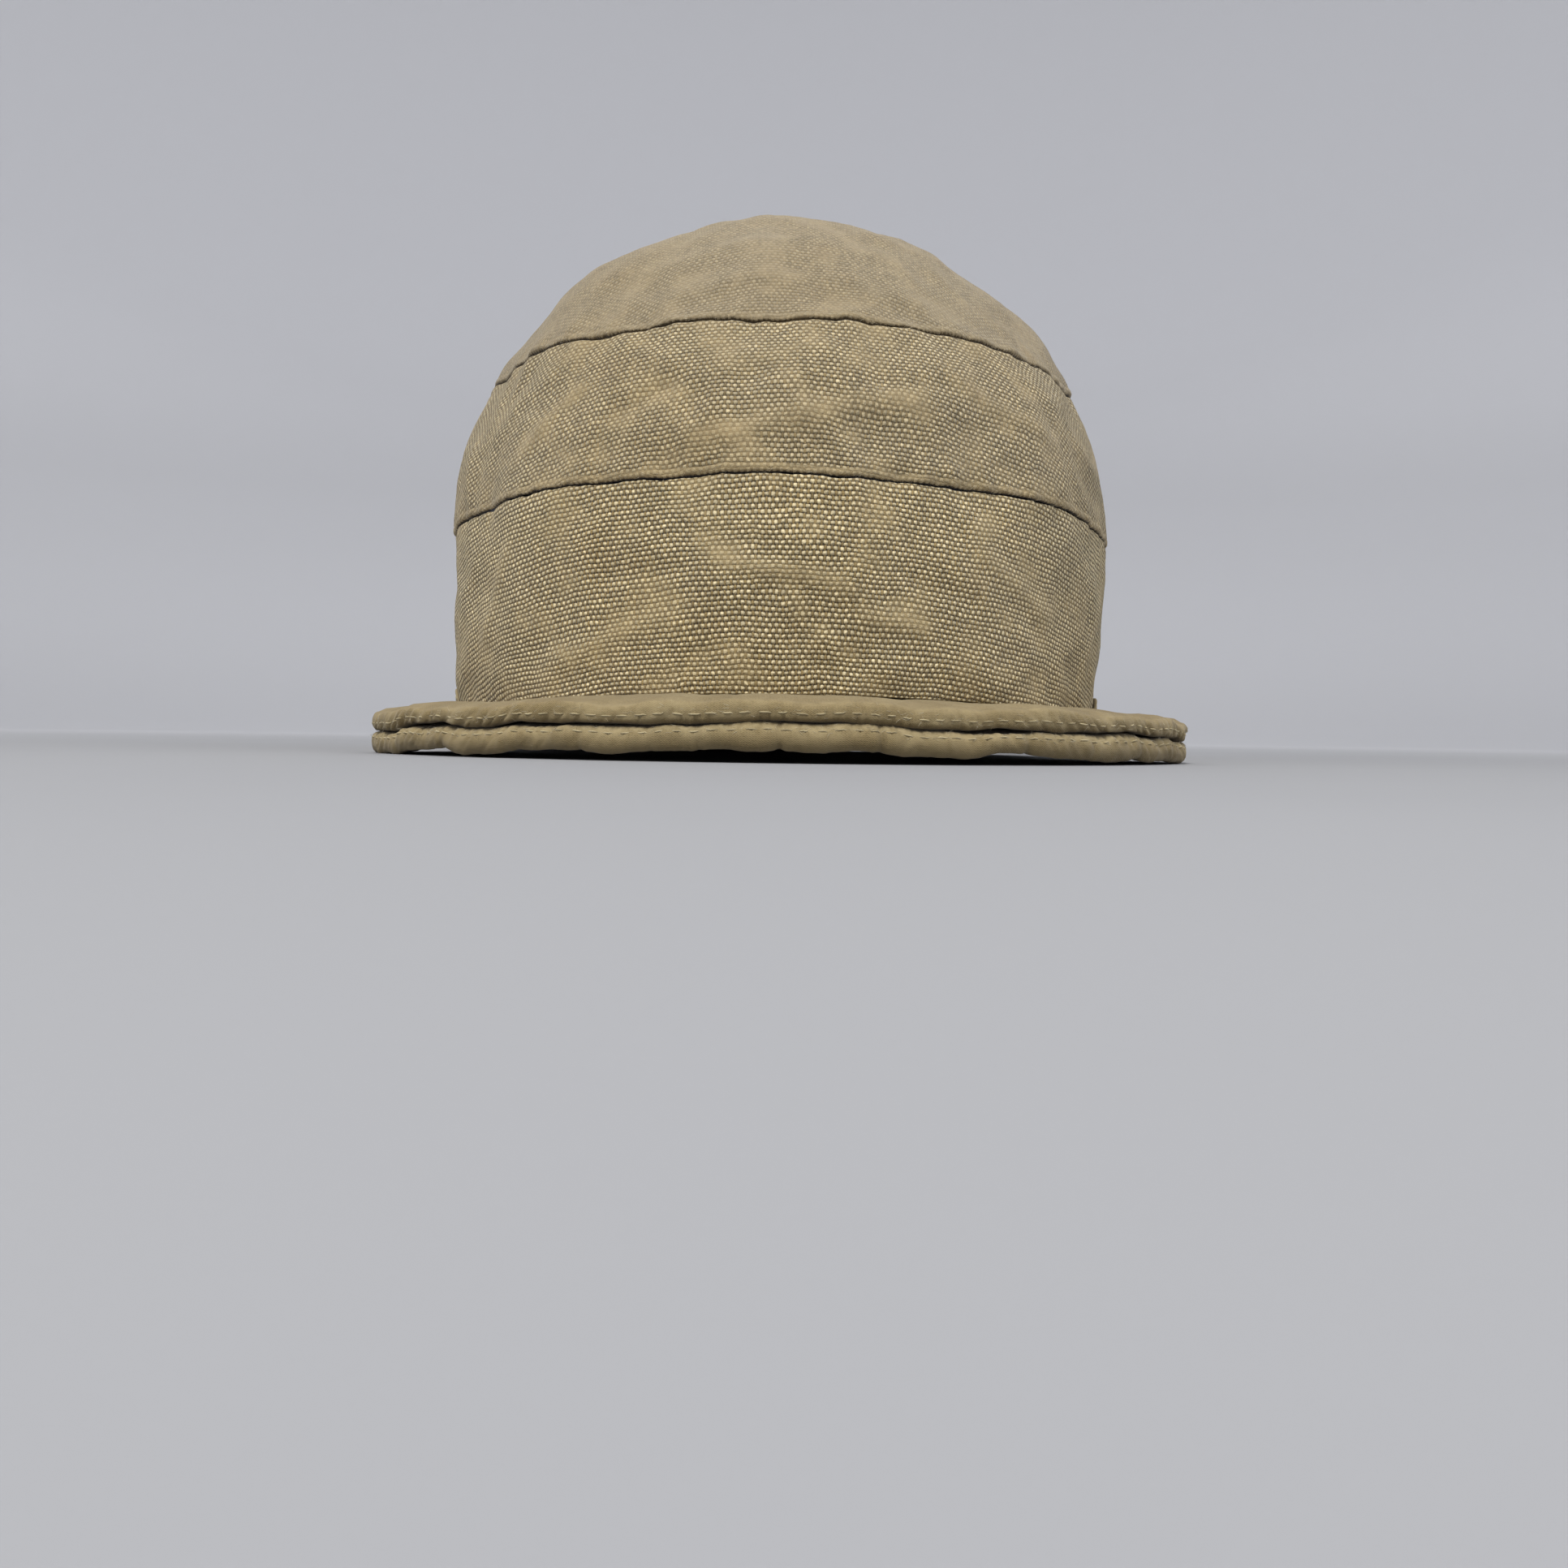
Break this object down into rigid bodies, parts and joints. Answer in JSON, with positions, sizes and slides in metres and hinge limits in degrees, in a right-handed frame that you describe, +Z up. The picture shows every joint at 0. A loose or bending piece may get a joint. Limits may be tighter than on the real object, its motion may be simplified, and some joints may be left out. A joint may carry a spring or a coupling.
{
  "type": "military work cap",
  "caption": "Soft canvas cap with a banded domed crown, a short padded peak round the front, a bound rim behind it and a dark lining.",
  "frame": {"origin": "bottom centre of the cap's box as it rests on a flat surface", "axes": "+Z up from the surface it rests on, -Y towards the front of the peak, +X towards the right as seen from the front"},
  "size_m": [0.2026, 0.239, 0.1475],
  "materials": {
    "canvas": "coarse plain-weave cotton canvas, sun-faded tan, matt, grains paler than the recesses between them",
    "worn_canvas": "the same canvas worn nearly smooth and paler, matt",
    "peak_cloth": "finer cotton twill over padding, olive tan, matt, with paler stitching along its edge",
    "binding_cloth": "folded strip of the finer tan twill, matt",
    "lining_cloth": "dark navy cotton lining, matt"
  },
  "bodies": {
    "root": {"crown_lower_band": "canvas", "crown_upper_band": "canvas", "crown_top": "worn_canvas", "peak_upper": "peak_cloth", "peak_lower": "peak_cloth", "rim_binding": "binding_cloth", "lining": "lining_cloth"}
  },
  "joints": []
}
